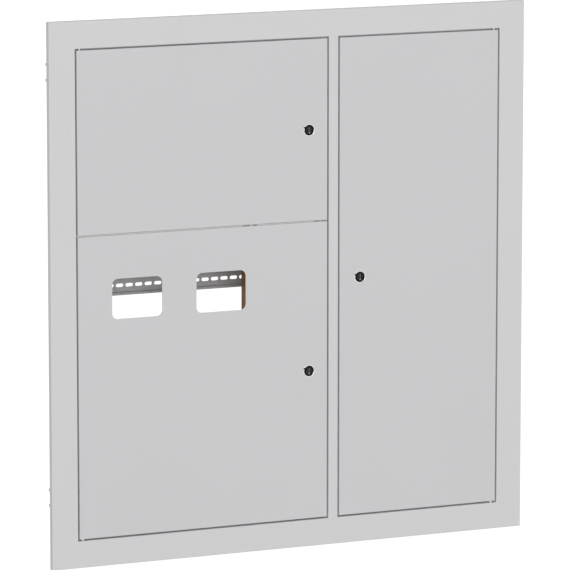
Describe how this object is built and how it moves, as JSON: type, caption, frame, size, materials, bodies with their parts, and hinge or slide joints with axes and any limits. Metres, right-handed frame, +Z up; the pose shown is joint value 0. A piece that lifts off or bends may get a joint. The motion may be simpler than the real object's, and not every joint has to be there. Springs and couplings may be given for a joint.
{
  "type": "floor distribution board",
  "caption": "Flush floor distribution board: trim frame, hinged doors with cam locks and meter windows, open-backed steel body with mounting rails and a low current bay.",
  "frame": {"origin": "centre of the rectangle of the wall fixing holes, on the rear plane that meets the wall", "axes": "+X to the right seen from the front, +Y into the wall, +Z up; the doors face -Y"},
  "size_m": [0.95, 0.1425, 1],
  "materials": {
    "frame_paint": "satin light grey powder coat",
    "body_paint": "satin light grey powder coat",
    "door_paint": "satin light grey powder coat",
    "galvanised_steel": "zinc coated",
    "zinc_fasteners": "zinc plated",
    "lock_black": "black moulded",
    "lock_metal": "zinc die cast",
    "brown_laminate": "glossy phenolic laminate",
    "brass": "drawn bar",
    "insulator_plastic": "moulded",
    "black_rubber": "moulded"
  },
  "bodies": {
    "enclosure": {"front_frame": "frame_paint", "left_wall": "body_paint", "right_wall": "body_paint", "top_wall": "body_paint", "bottom_wall": "body_paint", "centre_partition": "body_paint", "section_shelf": "body_paint", "breaker_cover": "body_paint", "cover_brackets": "body_paint", "meter_rail": "galvanised_steel", "service_rail": "galvanised_steel", "lower_breaker_rail": "galvanised_steel", "upper_breaker_rail": "galvanised_steel", "left_upright": "galvanised_steel", "middle_upright": "galvanised_steel", "bar_strip": "galvanised_steel", "partition_angles": "galvanised_steel", "lower_equipment_strip": "galvanised_steel", "middle_equipment_strip": "galvanised_steel", "upper_equipment_strip": "galvanised_steel", "wall_anchors": "galvanised_steel", "rail_screws": "zinc_fasteners", "cover_screws": "zinc_fasteners", "partition_screws": "zinc_fasteners", "middle_hinge_pin": "zinc_fasteners", "body_earth_stud": "zinc_fasteners", "bar_screws": "zinc_fasteners", "insulating_partition": "brown_laminate", "neutral_bar": "brass", "earth_bar": "brass", "bar_insulators": "insulator_plastic", "cable_grommets": "black_rubber", "door_buffers": "black_rubber"},
    "upper_door": {"upper_door": "door_paint", "upper_door_hinge_pin": "zinc_fasteners", "upper_lock_housing": "lock_black", "upper_lock_nut": "lock_metal", "upper_door_earth_stud": "zinc_fasteners"},
    "upper_lock": {"upper_lock_core": "lock_metal", "upper_lock_cam": "lock_metal", "upper_cam_screw": "zinc_fasteners"},
    "lower_door": {"lower_door": "door_paint", "lower_door_hinge_pin": "zinc_fasteners", "lower_lock_housing": "lock_black", "lower_lock_nut": "lock_metal", "lower_door_earth_stud": "zinc_fasteners"},
    "lower_lock": {"lower_lock_core": "lock_metal", "lower_lock_cam": "lock_metal", "lower_cam_screw": "zinc_fasteners"},
    "right_door": {"right_door": "door_paint", "right_door_hinge_pins": "zinc_fasteners", "right_lock_housing": "lock_black", "right_lock_nut": "lock_metal", "right_door_earth_stud": "zinc_fasteners"},
    "right_lock": {"right_lock_core": "lock_metal", "right_lock_cam": "lock_metal", "right_cam_screw": "zinc_fasteners"}
  },
  "joints": [
    {"name": "upper_door_hinge", "type": "hinge", "parent": "enclosure", "child": "upper_door", "pos_m": [-0.4142, -0.134, 0.279], "axis": [0, 0, -1], "range_deg": [0, 110]},
    {"name": "lower_door_hinge", "type": "hinge", "parent": "enclosure", "child": "lower_door", "pos_m": [-0.4142, -0.134, -0.169], "axis": [0, 0, -1], "range_deg": [0, 110]},
    {"name": "right_door_hinge", "type": "hinge", "parent": "enclosure", "child": "right_door", "pos_m": [0.4142, -0.134, 0], "axis": [0, 0, 1], "range_deg": [0, 110]},
    {"name": "upper_lock_turn", "type": "hinge", "parent": "upper_door", "child": "upper_lock", "pos_m": [0.0349, -0.14, 0.2797], "axis": [0, -1, 0], "range_deg": [0, 90]},
    {"name": "lower_lock_turn", "type": "hinge", "parent": "lower_door", "child": "lower_lock", "pos_m": [0.0349, -0.14, -0.1687], "axis": [0, -1, 0], "range_deg": [0, 90]},
    {"name": "right_lock_turn", "type": "hinge", "parent": "right_door", "child": "right_lock", "pos_m": [0.1382, -0.14, 0.0005], "axis": [0, 1, 0], "range_deg": [0, 90]}
  ]
}
